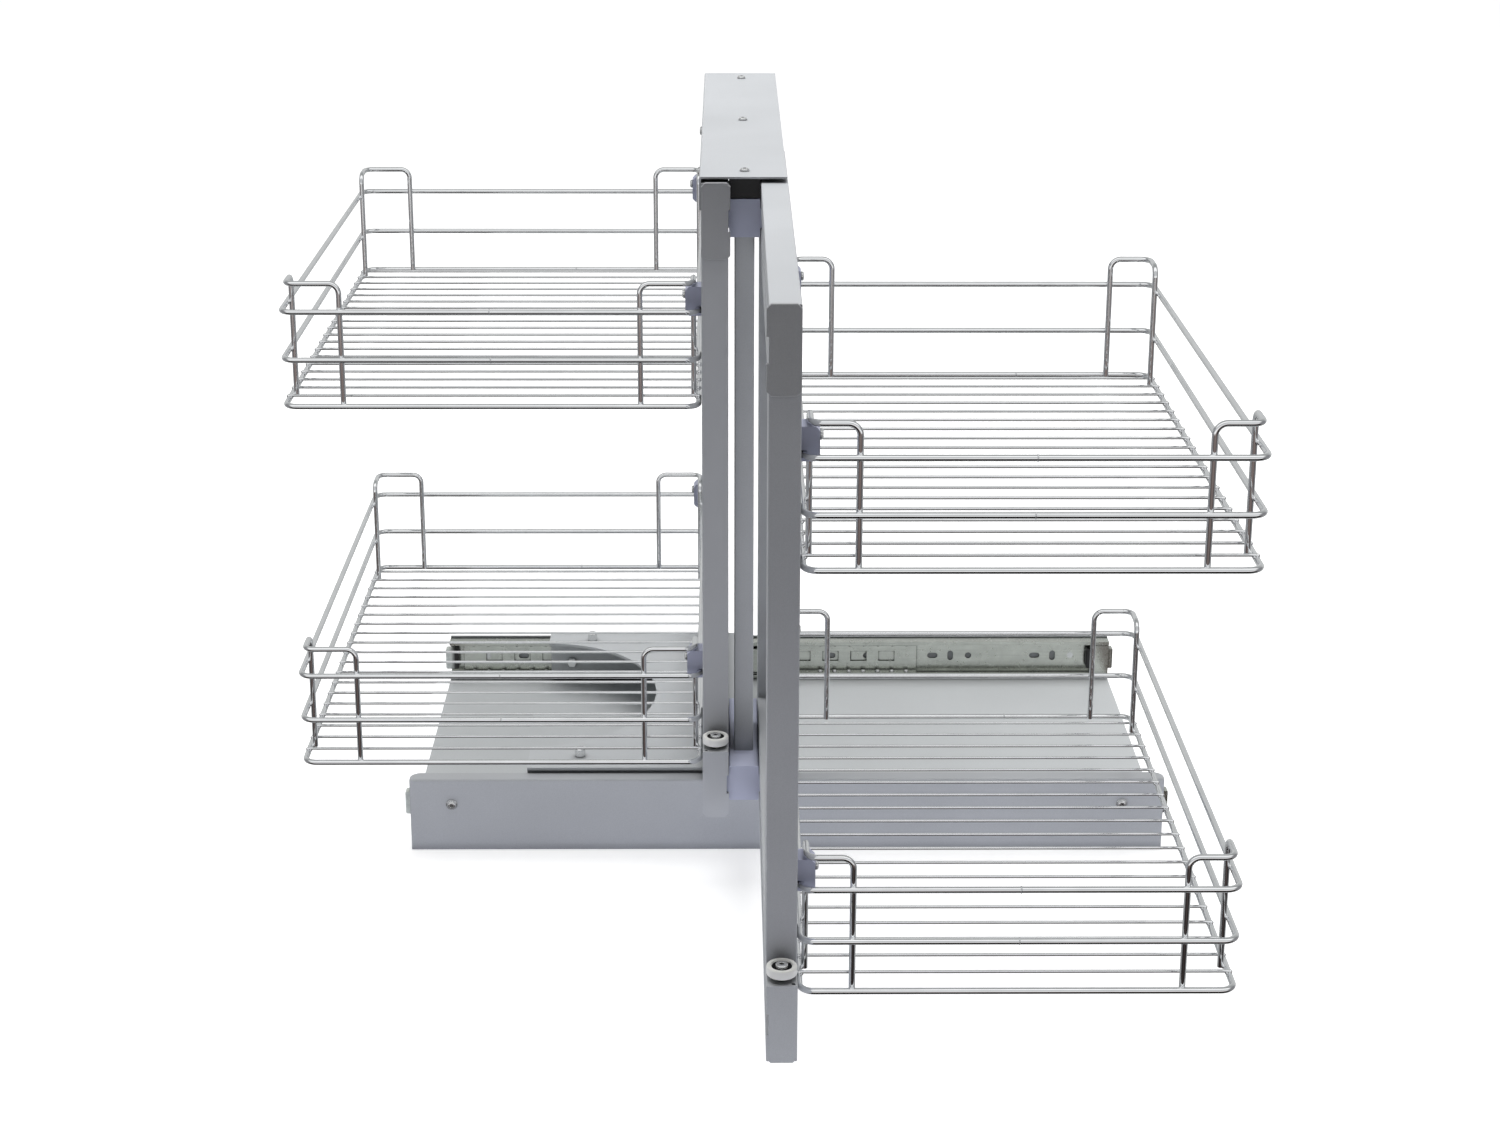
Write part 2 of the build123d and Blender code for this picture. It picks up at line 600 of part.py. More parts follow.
def clip_rows(y0):
    """Y of the front and back clips' centres on a frame."""
    inset = BASKET_SETBACK + BASKET_CORNER_R - CLIP_OVER_BEND + CLIP_W / 2
    front_y = y0 + inset
    back_y = y0 + FRAME_L - inset
    return front_y, back_y


def clip_levels():
    """Height of the upper ring that each tier's clips hold."""
    return [level + RING_LEVELS[-1] for level in TIER_LEVELS]


def post(x0, y0, side, clip_y):
    """A rectangular tube, holed on the basket's side for the clip screws."""
    mid_x = x0 + FRAME_T / 2
    with BuildPart() as tube:
        with BuildSketch(Plane.XY.offset(POST_BOTTOM)):
            with Locations((mid_x, y0 + POST_D / 2)):
                RectangleRounded(FRAME_T, POST_D, TUBE_ROUNDING)
                Rectangle(FRAME_T - 2 * RAIL_WALL, POST_D - 2 * RAIL_WALL, mode=Mode.SUBTRACT)
        extrude(amount=POST_TOP - POST_BOTTOM)
        with BuildSketch(Plane.YZ.offset(mid_x)):
            with Locations([(clip_y, level + CLIP_SCREW_UP) for level in clip_levels()]):
                Circle(M4[0] + THREAD_PLAY)
        extrude(amount=-side * FRAME_T, mode=Mode.SUBTRACT)
    return tube.part


def top_cap(x0, y0, side):
    """Front cap of a top rail: a chamfered face, and a plug inside the channel."""
    mid_x = x0 + FRAME_T / 2
    face_mid_x = mid_x + side * CAP_OVERHANG / 2
    gap_x = mid_x + side * (FRAME_T / 2 + CAP_OVERHANG)
    plug_w = FRAME_T - 2 * RAIL_WALL - 2 * PLUG_PLAY
    plug_h = RAIL_H - 2 * RAIL_WALL - 2 * PLUG_PLAY
    with BuildPart() as cap:
        with BuildSketch(Plane.XZ.offset(-y0)):
            with Locations((mid_x, TOP_RAIL_Z)):
                Rectangle(plug_w, plug_h)
        extrude(amount=-CAP_PLUG)
        with BuildSketch(Plane.XZ.offset(-y0)) as face:
            with Locations((face_mid_x, TOP_RAIL_Z)):
                Rectangle(FRAME_T + CAP_OVERHANG, RAIL_H + CAP_EXTRA_H)
            chamfer(face.vertices(), CAP_CHAMFER)
            with Locations((gap_x, TOP_RAIL_Z)):
                Rectangle(2 * CAP_OVERHANG, CAP_NOTCH_H, mode=Mode.SUBTRACT)
        extrude(amount=CAP_FACE)
        fillet(cap.faces().sort_by(Axis.Y)[0].edges(), CAP_EDGE_R)
    return cap.part


def end_plug(x0, y0, z_mid):
    """Plastic plug in the back end of a channel; it also stops the glide block."""
    inset = 2 * (RAIL_WALL + PLUG_PLAY)
    with BuildPart() as plug:
        with BuildSketch(Plane.XZ.offset(-(y0 + FRAME_L))):
            with Locations((x0 + FRAME_T / 2, z_mid)):
                Rectangle(FRAME_T - inset, RAIL_H - inset)
        extrude(amount=END_PLUG)
        with BuildSketch(Plane.XZ.offset(-(y0 + FRAME_L))):
            with Locations((x0 + FRAME_T / 2, z_mid)):
                RectangleRounded(FRAME_T, RAIL_H, TUBE_ROUNDING)
        extrude(amount=-CAP_FACE)
    return plug.part


# Guide rollers, one on each stub, turning about a vertical axle
tyre_z = POST_BOTTOM + ROLLER_SPACER_H


def ring(x, y, z, outer_r, inner_r, height, edge_r):
    with BuildPart() as part:
        with BuildSketch(Plane.XY.offset(z)):
            with Locations((x, y)):
                Circle(outer_r)
                Circle(inner_r, mode=Mode.SUBTRACT)
        extrude(amount=height)
        if edge_r:
            rims = part.edges().filter_by(GeomType.CIRCLE).group_by(SortBy.LENGTH)[-1]
            fillet(rims, edge_r)
    return part.part


def roller_axle(x, y):
    head_z = tyre_z + ROLLER_H - ROLLER_BEARING_SINK + 2 * ROLLER_PLAY
    spot = Plane(origin=(x, y, head_z), x_dir=(1, 0, 0), z_dir=(0, 0, 1))
    return screw(spot, ROLLER_AXLE, head_z - POST_BOTTOM + RAIL_WALL)


def save_frame(place, x0, y0, side, fixed):
    clip_front_y, clip_back_y = clip_rows(y0)
    save(top_rail(x0, y0, side, fixed), f"{place}_frame_top_rail")
    save(bottom_rail(x0, y0, side, fixed), f"{place}_frame_bottom_rail")
    save(post(x0, y0, side, clip_front_y), f"{place}_frame_front_post")
    save(post(x0, y0 + FRAME_L - POST_D, side, clip_back_y), f"{place}_frame_back_post")
    save(top_cap(x0, y0, side), f"{place}_frame_top_cap")
    save_group([end_plug(x0, y0, z) for z in (BOTTOM_RAIL_Z, TOP_RAIL_Z)], f"{place}_frame_end_plugs")
    x = x0 + FRAME_T / 2
    y = y0 - STUB_L + ROLLER_INSET
    hole_r = ROLLER_AXLE[0] + ROLLER_PLAY
    save(ring(x, y, tyre_z, ROLLER_R, ROLLER_BEARING_R, ROLLER_H, ROLLER_ROUNDING), f"{place}_roller_tyre")
    bearing_z = tyre_z + ROLLER_BEARING_SINK
    bearing_h = ROLLER_H - 2 * ROLLER_BEARING_SINK
    save(ring(x, y, bearing_z, ROLLER_BEARING_R, hole_r, bearing_h, 0), f"{place}_roller_bearing")
    spacer = ring(x, y, POST_BOTTOM, ROLLER_SPACER_R, hole_r, ROLLER_SPACER_H, ROLLER_SPACER_ROUNDING)
    save(spacer, f"{place}_roller_spacer")
    save(roller_axle(x, y), f"{place}_roller_axle")


# Baskets: three rings, a floor of straight wires, and a loop round each corner
def bent_wire(points, bend_r, close=False):
    with BuildPart() as wire:
        with BuildLine() as path:
            line = FilletPolyline(*points, radius=bend_r, close=close)
        with BuildSketch(Plane(origin=line @ 0, z_dir=line % 0)):
            Circle(WIRE_R)
        sweep(path=path.line)
    return wire.part


def basket_ring(x0, y0, z, width):
    x1 = x0 + width
    y1 = y0 + BASKET_D
    corners = [(x0, y0, z), (x1, y0, z), (x1, y1, z), (x0, y1, z)]
    return bent_wire(corners, BASKET_CORNER_R, close=True)


def corner_loop(corner_x, corner_y, z, to_x, to_y, front_leg):
    """A loop inside the rings, up from the floor ring, round the corner and down again."""
    inset = 2 * WIRE_R - WELD
    x = corner_x + to_x * inset
    y = corner_y + to_y * inset
    leg_x = corner_x + to_x * front_leg
    leg_y = corner_y + to_y * SIDE_LEG
    top_z = z + LOOP_TOP
    points = [(leg_x, y, z), (leg_x, y, top_z), (x, y, top_z), (x, leg_y, top_z), (x, leg_y, z)]
    return bent_wire(points, LOOP_BEND_R)


def basket(x0, y0, z, width, front_leg):
    rings = [basket_ring(x0, y0, z + level, width) for level in RING_LEVELS]
    loops = []
    for to_x, corner_x in ((1, x0), (-1, x0 + width)):
        for to_y, corner_y in ((1, y0), (-1, y0 + BASKET_D)):
            loops.append(corner_loop(corner_x, corner_y, z, to_x, to_y, front_leg))
    floor_z = z + WIRE_R + FLOOR_WIRE_R - WELD
    floor_wires = int((BASKET_D - 2 * FLOOR_WIRE_INSET) / FLOOR_WIRE_PITCH) + 1
    first_y = y0 + (BASKET_D - (floor_wires - 1) * FLOOR_WIRE_PITCH) / 2
    with BuildPart() as part:
        with BuildSketch(Plane.YZ.offset(x0 - WIRE_R / 2)):
            with Locations([(first_y + n * FLOOR_WIRE_PITCH, floor_z) for n in range(floor_wires)]):
                Circle(FLOOR_WIRE_R)
        extrude(amount=width + WIRE_R)
        add(rings + loops)
    return part.part


def clip(face_x, y, ring_z, side):
    """A block screwed to the post, its slot closed over the ring's wire. Side points to the basket."""
    wire_x = face_x + side * (BASKET_GAP + WIRE_R)
    slot_r = WIRE_R + CLIP_PLAY
    with BuildPart() as block:
        with BuildSketch(Plane.XZ.offset(-(y - CLIP_W / 2))) as section:
            with Locations((face_x + side * CLIP_T / 2, ring_z + (CLIP_ABOVE - CLIP_BELOW) / 2)):
                Rectangle(CLIP_T, CLIP_ABOVE + CLIP_BELOW)
            chamfer(section.vertices().sort_by(Axis.X, reverse=side < 0)[-2:], CLIP_CHAMFER)
            with Locations((wire_x, ring_z)):
                Circle(slot_r, mode=Mode.SUBTRACT)
            with Locations(((face_x + wire_x) / 2, ring_z)):
                Rectangle(abs(wire_x - face_x), 2 * slot_r, mode=Mode.SUBTRACT)
        extrude(amount=-CLIP_W)
        with BuildSketch(Plane.YZ.offset(face_x)):
            with Locations((y, ring_z + CLIP_SCREW_UP)):
                Circle(M4[0] + THREAD_PLAY)
        extrude(amount=side * CLIP_T, mode=Mode.SUBTRACT)
    return block.part


def clip_screw(face_x, y, ring_z, side):
    head_x = face_x + side * CLIP_T
    spot = Plane(origin=(head_x, y, ring_z + CLIP_SCREW_UP), x_dir=(0, 1, 0), z_dir=(side, 0, 0))
    return screw(spot, M4, CLIP_T + RAIL_WALL)


def save_baskets(place, face_x, y0, side, width, front_leg):
    """The two baskets on a frame's outer face, which looks towards side."""
    near_x = face_x + side * (BASKET_GAP + WIRE_R)
    x0 = min(near_x, near_x + side * width)
    for name, level in zip(("lower", "upper"), TIER_LEVELS):
        save(basket(x0, y0 + BASKET_SETBACK, level, width, front_leg), f"{place}_{name}_basket")
    spots = [(y, level) for level in clip_levels() for y in clip_rows(y0)]
    save_group([clip(face_x, y, level, side) for y, level in spots], f"{place}_basket_clips")
    save_group([clip_screw(face_x, y, level, side) for y, level in spots], f"{place}_clip_screws")


save_frame("rear", REAR_X0, REAR_FRAME_Y, 1, True)
save_frame("front", FRONT_X0, FRONT_FRAME_Y, -1, False)
save_baskets("rear", REAR_X0, REAR_FRAME_Y, -1, REAR_BASKET_W, REAR_BASKET_LEG)
save_baskets("front", FRONT_X0 + FRAME_T, FRONT_FRAME_Y, 1, FRONT_BASKET_W, FRONT_BASKET_LEG)

# Screws up through the carriage plate into the rear frame's bottom rail
frame_screws = []
for y in frame_screw_ys:
    below = (frame_screw_x, y, CARRIAGE_TOP - CARRIAGE_SHEET)
    under = Plane(origin=below, x_dir=(1, 0, 0), z_dir=(0, 0, -1))
    frame_screws.append(screw(under, M6, CARRIAGE_SHEET + RAIL_WALL, hexagonal=True))
save_group(frame_screws, "frame_screws")

# Column between the frames. Its two glide blocks run in the channels of both frames.
overlap_back_y = FRONT_FRAME_Y + FRAME_L - END_PLUG - BLOCK_BACK_GAP
column_front_y = REAR_FRAME_Y + TOP_BLOCK_SETBACK
column_screw_ys = (column_front_y + COLUMN_SCREW_INSET, column_front_y + COLUMN_D - COLUMN_SCREW_INSET)


def glide_block(front_y, z_mid, outward):
    """Body in the gap, necks through the openings, heads in the channels. Outward is 1 at the top."""
    length = overlap_back_y - front_y
    body_w = FRAME_GAP - 2 * SIDE_PLAY
    head_w = FRAME_T - 2 * RAIL_WALL - 2 * SIDE_PLAY
    head_x = FRAME_GAP / 2 + FRAME_T / 2
    with BuildPart() as block:
        with BuildSketch(Plane.XZ.offset(-front_y)):
            with Locations((GAP_CENTRE_X, z_mid)):
                RectangleRounded(body_w, BLOCK_H, TUBE_ROUNDING)
                Rectangle(2 * head_x, RAIL_OPENING - 2 * GLIDE_PLAY)
            with Locations((GAP_CENTRE_X - head_x, z_mid), (GAP_CENTRE_X + head_x, z_mid)):
                RectangleRounded(head_w, RAIL_H - 2 * RAIL_WALL - 2 * GLIDE_PLAY, BLOCK_HEAD_ROUNDING)
        extrude(amount=-length)
        with BuildSketch(Plane.XY.offset(z_mid)):
            with Locations([(GAP_CENTRE_X, y) for y in column_screw_ys]):
                Circle(M5[0] + THREAD_PLAY)
        extrude(amount=BLOCK_H, both=True, mode=Mode.SUBTRACT)
        with BuildSketch(Plane.XY.offset(z_mid + outward * BLOCK_H / 2)):
            with Locations([(GAP_CENTRE_X, y) for y in column_screw_ys]):
                Circle(M5[1] + SIDE_PLAY)
        extrude(amount=-outward * (M5[2] + SIDE_PLAY), mode=Mode.SUBTRACT)
    return block.part


save(glide_block(column_front_y, TOP_RAIL_Z, 1), "top_glide_block")
save(glide_block(REAR_FRAME_Y - STUB_L + BOTTOM_BLOCK_SETBACK, BOTTOM_RAIL_Z, -1), "bottom_glide_block")

column_bottom = BOTTOM_RAIL_Z + BLOCK_H / 2
column_top = TOP_RAIL_Z - BLOCK_H / 2
with BuildPart() as column:
    column_mid_y = column_front_y + COLUMN_D / 2
    with BuildSketch(Plane.XY.offset(column_bottom)):
        with Locations((GAP_CENTRE_X, column_mid_y)):
            RectangleRounded(COLUMN_W, COLUMN_D, TUBE_ROUNDING)
    extrude(amount=column_top - column_bottom)
    with BuildSketch(Plane.XY.offset(column_bottom + COLUMN_END)):
        with Locations((GAP_CENTRE_X, column_mid_y)):
            Rectangle(COLUMN_W - 2 * COLUMN_WALL, COLUMN_D - 2 * COLUMN_WALL)
    extrude(amount=column_top - column_bottom - 2 * COLUMN_END, mode=Mode.SUBTRACT)
    with BuildSketch(Plane.XY.offset(column_bottom)):
        with Locations([(GAP_CENTRE_X, y) for y in column_screw_ys]):
            Circle(M5[0] + THREAD_PLAY)
    extrude(amount=column_top - column_bottom, mode=Mode.SUBTRACT)
save(column.part, "middle_column")

column_screws = []
for y in column_screw_ys:
    for z_mid, outward in ((TOP_RAIL_Z, 1), (BOTTOM_RAIL_Z, -1)):
        seat_z = z_mid + outward * (BLOCK_H / 2 - M5[2] - SIDE_PLAY)
        seat = Plane(origin=(GAP_CENTRE_X, y, seat_z), x_dir=(1, 0, 0), z_dir=(0, 0, outward))
        column_screws.append(screw(seat, M5, BLOCK_H - M5[2] - SIDE_PLAY + COLUMN_END))
save_group(column_screws, "column_screws")

# Cover, bent down over the rear frame's outer side, and the strip that it holds in the gap
cover_x0 = REAR_X0 - COVER_SHEET
cover_x1 = FRONT_X0 + FRAME_T - COVER_RIGHT_INSET
cover_l = FRAME_L - COVER_SETBACK
rivet_y0 = cover_y0 + COVER_RIVET_FRONT_INSET
rivet_ys = evenly(rivet_y0, cover_y0 + cover_l - COVER_RIVET_BACK_INSET, COVER_RIVETS)
with BuildPart() as top_cover:
    with BuildSketch(Plane.XZ.offset(-cover_y0)):
        with Locations((cover_x0, cover_z)):
            Rectangle(cover_x1 - cover_x0, COVER_SHEET, align=Align.MIN)
        with Locations((cover_x0, cover_z + COVER_SHEET)):
            Rectangle(COVER_SHEET, COVER_FLANGE_H, align=(Align.MIN, Align.MAX))
    extrude(amount=-cover_l)
    bend = top_cover.edges().filter_by(Axis.Y).filter_by_position(Axis.X, cover_x0 - 0.1, cover_x0 + 0.1)
    fillet(bend.sort_by(Axis.Z)[-1], COVER_SHEET)
    with BuildSketch(Plane.XY.offset(cover_z)):
        with Locations([(GAP_CENTRE_X, y) for y in rivet_ys]):
            Circle(M4[0] + THREAD_PLAY)
    extrude(amount=COVER_SHEET, mode=Mode.SUBTRACT)
    with BuildSketch(Plane.YZ.offset(cover_x0)):
        with Locations([(y, cover_screw_z) for y in cover_screw_ys]):
            Circle(M4[0] + THREAD_PLAY)
    extrude(amount=COVER_SHEET, mode=Mode.SUBTRACT)
save(top_cover.part, "top_cover")

strip_bottom = TOP_RAIL_Z + BLOCK_H / 2 + GUIDE_STRIP_CLEAR
with BuildPart() as guide_strip:
    strip_w = FRAME_GAP - 2 * SIDE_PLAY
    strip_l = FRAME_L - GUIDE_STRIP_SETBACK
    with BuildSketch(Plane.XY.offset(strip_bottom)):
        with Locations((GAP_CENTRE_X, REAR_FRAME_Y + GUIDE_STRIP_SETBACK)):
            Rectangle(strip_w, strip_l, align=(Align.CENTER, Align.MIN))
    extrude(amount=cover_z - strip_bottom)
    with BuildSketch(Plane.XY.offset(cover_z)):
        with Locations([(GAP_CENTRE_X, y) for y in rivet_ys]):
            Circle(M4[0] + THREAD_PLAY)
    extrude(amount=-COVER_RIVET_DEPTH, mode=Mode.SUBTRACT)
save(guide_strip.part, "guide_strip")

cover_rivets = []
for y in rivet_ys:
    spot = Plane(origin=(GAP_CENTRE_X, y, cover_z + COVER_SHEET), x_dir=(1, 0, 0), z_dir=(0, 0, 1))
    cover_rivets.append(screw(spot, M4, COVER_SHEET + COVER_RIVET_DEPTH))
save_group(cover_rivets, "cover_rivets")

cover_screws = []
for y in cover_screw_ys:
    spot = Plane(origin=(cover_x0, y, cover_screw_z), x_dir=(0, 1, 0), z_dir=(-1, 0, 0))
    cover_screws.append(screw(spot, M4, COVER_SHEET + RAIL_WALL))
save_group(cover_screws, "cover_side_screws")
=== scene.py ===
import json
import math

import bmesh
import bpy
from mathutils import Matrix, Vector


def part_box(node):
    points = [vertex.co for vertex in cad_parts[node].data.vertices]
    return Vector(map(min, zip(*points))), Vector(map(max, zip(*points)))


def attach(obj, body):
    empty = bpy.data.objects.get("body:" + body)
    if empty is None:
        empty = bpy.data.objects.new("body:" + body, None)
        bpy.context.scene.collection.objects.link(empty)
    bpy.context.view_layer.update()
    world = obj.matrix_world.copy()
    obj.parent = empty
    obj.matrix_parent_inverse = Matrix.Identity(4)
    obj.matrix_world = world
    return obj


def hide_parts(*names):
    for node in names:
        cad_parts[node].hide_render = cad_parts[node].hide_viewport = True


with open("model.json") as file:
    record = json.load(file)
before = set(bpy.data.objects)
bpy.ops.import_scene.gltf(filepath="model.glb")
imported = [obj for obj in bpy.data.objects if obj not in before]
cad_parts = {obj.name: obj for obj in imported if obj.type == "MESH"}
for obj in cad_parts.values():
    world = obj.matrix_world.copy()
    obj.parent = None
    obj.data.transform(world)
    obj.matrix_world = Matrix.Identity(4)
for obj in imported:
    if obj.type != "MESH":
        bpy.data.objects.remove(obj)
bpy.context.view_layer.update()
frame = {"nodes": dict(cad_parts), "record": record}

MM = 0.001


class Graph:
    """Short calls that add nodes to the tree of a material or of the world."""

    def __init__(self, tree):
        self.tree = tree
        tree.nodes.clear()

    def feed(self, socket, value):
        """Links the socket to another node's output, or sets its value."""
        if isinstance(value, bpy.types.NodeSocket):
            self.tree.links.new(value, socket)
        else:
            socket.default_value = value

    def make(self, kind, inputs=(), **settings):
        """A node with its settings, and its inputs by name or in their order."""
        node = self.tree.nodes.new(f"ShaderNode{kind}")
        for name, value in settings.items():
            setattr(node, name, value)
        pairs = inputs.items() if isinstance(inputs, dict) else enumerate(inputs)
        for key, value in pairs:
            self.feed(node.inputs[key], value)
        return node

    def math(self, operation, *inputs):
        return self.make("Math", inputs, operation=operation).outputs[0]

    def smooth(self, value, low, high):
        """0 where the value is under low, 1 where it is over high."""
        inputs = (value, low, high, 0.0, 1.0)
        return self.make("MapRange", inputs, interpolation_type="SMOOTHSTEP").outputs["Result"]

    def ramp(self, factor, *stops):
        """A colour ramp through (place, grey or colour) stops."""
        ramp = self.make("ValToRGB", {"Fac": factor})
        elements = ramp.color_ramp.elements
        while len(elements) < len(stops):
            elements.new(0.5)
        for element, (place, value) in zip(elements, stops):
            color = value if isinstance(value, tuple) else (value, value, value)
            element.position = place
            element.color = (*color, 1.0)
        return ramp.outputs["Color"]


# Materials. Every texture runs on object coordinates, which are the shared frame's metres
BUMP_DEPTH = 0.0001
# SHUT and OPEN set how shut in a point must be for the painted shade in gaps
SHUT, OPEN, OPEN_SAMPLES = 0.40, 0.90, 8


class Shade(Graph):
    """A Principled material with short calls for its textures."""

    def __init__(self, name, color, metallic=0.0):
        self.mat = bpy.data.materials.new(name)
        self.mat.use_nodes = True
        self.mat.diffuse_color = (*color, 1.0)
        super().__init__(self.mat.node_tree)
        self.bsdf = self.make("BsdfPrincipled", {"Base Color": (*color, 1.0), "Metallic": metallic})
        self.make("OutputMaterial", {"Surface": self.bsdf.outputs["BSDF"]})
        self.coords = self.make("TexCoord").outputs["Object"]

    def set(self, name, value):
        self.feed(self.bsdf.inputs[name], value)

    def noise(self, scale, detail=2.0, roughness=0.5, stretch=(1, 1, 1)):
        """Noise on the coordinates, multiplied by one factor for each axis."""
        place = self.make("Mapping", {"Vector": self.coords, "Scale": stretch}).outputs["Vector"]
        inputs = {"Vector": place, "Scale": scale, "Detail": detail, "Roughness": roughness}
        return self.make("TexNoise", inputs).outputs["Fac"]

    def mottle(self, darkest, noise, edge=0.3):
        """Grey patches from a noise: darkest in its lows and 1 in its highs."""
        return self.ramp(noise, (edge, darkest), (1 - edge, 1.0))

    def spread(self, factor, low, high):
        """Maps a 0 to 1 factor onto low to high."""
        inputs = {"Value": factor, "To Min": low, "To Max": high}
        return self.make("MapRange", inputs).outputs["Result"]

    def tint(self, color, factor, strength=1.0):
        """The colour multiplied by a grey factor that is mixed in by strength."""
        if isinstance(color, tuple):
            color = (*color, 1.0)
        inputs = {"Factor": strength, "A": color, "B": factor}
        return self.make("Mix", inputs, data_type="RGBA", blend_type="MULTIPLY").outputs["Result"]

    def painted_gap_shade(self, reach, darkest=0.04):
        """Painted shade: 1 on open faces, falling to darkest where another face stands within
        reach.
        """
        openness = self.make("AmbientOcclusion", {"Distance": reach}, samples=OPEN_SAMPLES)
        return self.ramp(openness.outputs["AO"], (SHUT, darkest), (OPEN, 1.0))

    def bump(self, strength, height):
        inputs = {"Strength": strength, "Distance": BUMP_DEPTH, "Height": height}
        self.set("Normal", self.make("Bump", inputs).outputs["Normal"])


def powder_coat(name, color, cloud=0.10):
    """Powder coat: fine metallic grain, a light orange peel and faint clouds, with painted shade in
    gaps.
    """
    shade = Shade(name, color)
    clouds = shade.mottle(1.0 - cloud, shade.noise(7, detail=3.0))
    grain = shade.mottle(0.80, shade.noise(2600, detail=1.0, roughness=0.6), edge=0.35)
    color = shade.tint(shade.tint(color, clouds), grain, strength=0.55)
    # Painted shade: the coat darkens where another face stands within 12 mm
    shade.set("Base Color", shade.tint(color, shade.painted_gap_shade(reach=0.012, darkest=0.55)))
    shade.set("Roughness", shade.spread(shade.noise(900), 0.34, 0.50))
    shade.bump(0.16, shade.noise(1300))
    return shade.mat


def plated(name, color, roughness, lines, painted_shade_reach=0.0, metallic=1.0):
    """Zinc plate with faint rolling lines along one axis and cloudy spangle, with painted shade in
    gaps.
    """
    shade = Shade(name, color, metallic)
    stretch = tuple(1.0 if axis == lines else 40.0 for axis in "XYZ")
    rolled = shade.mottle(0.86, shade.noise(14, detail=3.0, roughness=0.6, stretch=stretch))
    cloudy = shade.mottle(0.84, shade.noise(90, detail=4.0, roughness=0.6))
    color = shade.tint(shade.tint(color, rolled), cloudy)
    # Painted shade: the plate darkens where another face stands within the given reach
    if painted_shade_reach:
        color = shade.tint(color, shade.painted_gap_shade(painted_shade_reach))
    shade.set("Base Color", color)
    gloss = shade.noise(160, detail=3.0)
    shade.set("Roughness", shade.spread(gloss, roughness - 0.08, roughness + 0.10))
    shade.bump(0.10, shade.noise(22, roughness=0.6, stretch=stretch))
    return shade.mat


def chromed(name, color):
    """Bright chrome plate on drawn wire, with the faintest waves and a trace of haze."""
    shade = Shade(name, color, metallic=1.0)
    haze = shade.mottle(0.93, shade.noise(40, detail=3.0), edge=0.35)
    shade.set("Base Color", shade.tint(color, haze))
    shade.set("Roughness", shade.spread(shade.noise(120), 0.02, 0.08))
    shade.bump(0.03, shade.noise(220))
    return shade.mat


def moulded(name, color, roughness, specular=0.5):
    """Injection-moulded plastic: fine spark texture, slight colour drift."""
    shade = Shade(name, color)
    shade.set("Specular IOR Level", specular)
    drift = shade.mottle(0.90, shade.noise(25))
    shade.set("Base Color", shade.tint(color, drift))
    shade.set("Roughness", shade.spread(shade.noise(700), roughness - 0.06, roughness + 0.08))
    shade.bump(0.10, shade.noise(2200))
    return shade.mat


BUMPER_BLACK, BUMPER_PALE = (0.02, 0.02, 0.021), (0.72, 0.76, 0.72)
BUMPER_PALE_X, BUMPER_EDGE = 0.3195, 0.0002


def bumper_rubber():
    """Black pads, cast on to pale end pieces that stick out past the slides."""
    shade = Shade("bumper", BUMPER_BLACK)
    x = shade.make("SeparateXYZ", {"Vector": shade.coords}).outputs["X"]
    part = shade.ramp(
        shade.math("ABSOLUTE", x),
        (BUMPER_PALE_X - BUMPER_EDGE, BUMPER_BLACK), (BUMPER_PALE_X + BUMPER_EDGE, BUMPER_PALE))
    mottled = shade.mottle(0.75, shade.noise(260))
    shade.set("Base Color", shade.tint(part, mottled))
    shade.set("Roughness", 0.45)
    shade.bump(0.20, shade.noise(900))
    return shade.mat


# One material for each slot of the record, then the nodes that differ from their slot
# The caps' grey is the frame's coat painted darker: painted shade on faces that look to the camera
SHADED_CAP_GREY = (0.39, 0.395, 0.41)
materials = {
    "grey_paint": powder_coat("silver grey powder coat", (0.515, 0.53, 0.55)),
    "chrome_wire": chromed("chrome wire", (0.92, 0.93, 0.94)),
    "zinc_steel": plated("zinc plated sheet", (0.72, 0.745, 0.69), 0.24, "X", painted_shade_reach=0.003),
    "zinc_fastener": plated(
        "bright zinc", (0.93, 0.94, 0.94), 0.16, "Z", painted_shade_reach=0.0025, metallic=0.75),
    "violet_plastic": moulded("violet grey plastic", (0.45, 0.47, 0.60), 0.40),
    "white_plastic": moulded("white plastic", (0.86, 0.86, 0.83), 0.34),
    "dark_steel": plated("dark steel", (0.05, 0.05, 0.055), 0.32, "Z"),
    "black_plastic": moulded("black plastic", (0.012, 0.012, 0.013), 0.45),
    "rubber": bumper_rubber(),
}
own_finish = {
    "front_frame_top_cap": powder_coat("cap coat with painted shade", SHADED_CAP_GREY),
    "rear_frame_top_cap": powder_coat("rear cap coat with painted shade", SHADED_CAP_GREY),
    # The front posts are the grey coat painted darker, the front frame's most: painted shade
    "front_frame_front_post": powder_coat("front post coat with painted shade", (0.465, 0.475, 0.50)),
    "rear_frame_front_post": powder_coat("rear post coat with painted shade", (0.485, 0.495, 0.515)),
    # The rear frame's bottom rail, whose stub stands before the apron, is the coat painted lighter:
    # painted light
    "rear_frame_bottom_rail": powder_coat("rear rail coat with painted light", (0.555, 0.57, 0.595)),
    # The tray's floor and the carriage plate are the coat painted lighter: painted light
    "base_floor": powder_coat("floor coat with painted light", (0.58, 0.60, 0.61), cloud=0.06),
    "carriage_plate": powder_coat("carriage coat with painted light", (0.63, 0.65, 0.665)),
    # The glide blocks are the violet plastic painted lighter, the lower one most: painted light
    "top_glide_block": moulded("upper glide block with painted light", (0.54, 0.565, 0.71), 0.40),
    "bottom_glide_block": moulded("lower glide block with painted light", (0.56, 0.585, 0.735), 0.40),
}
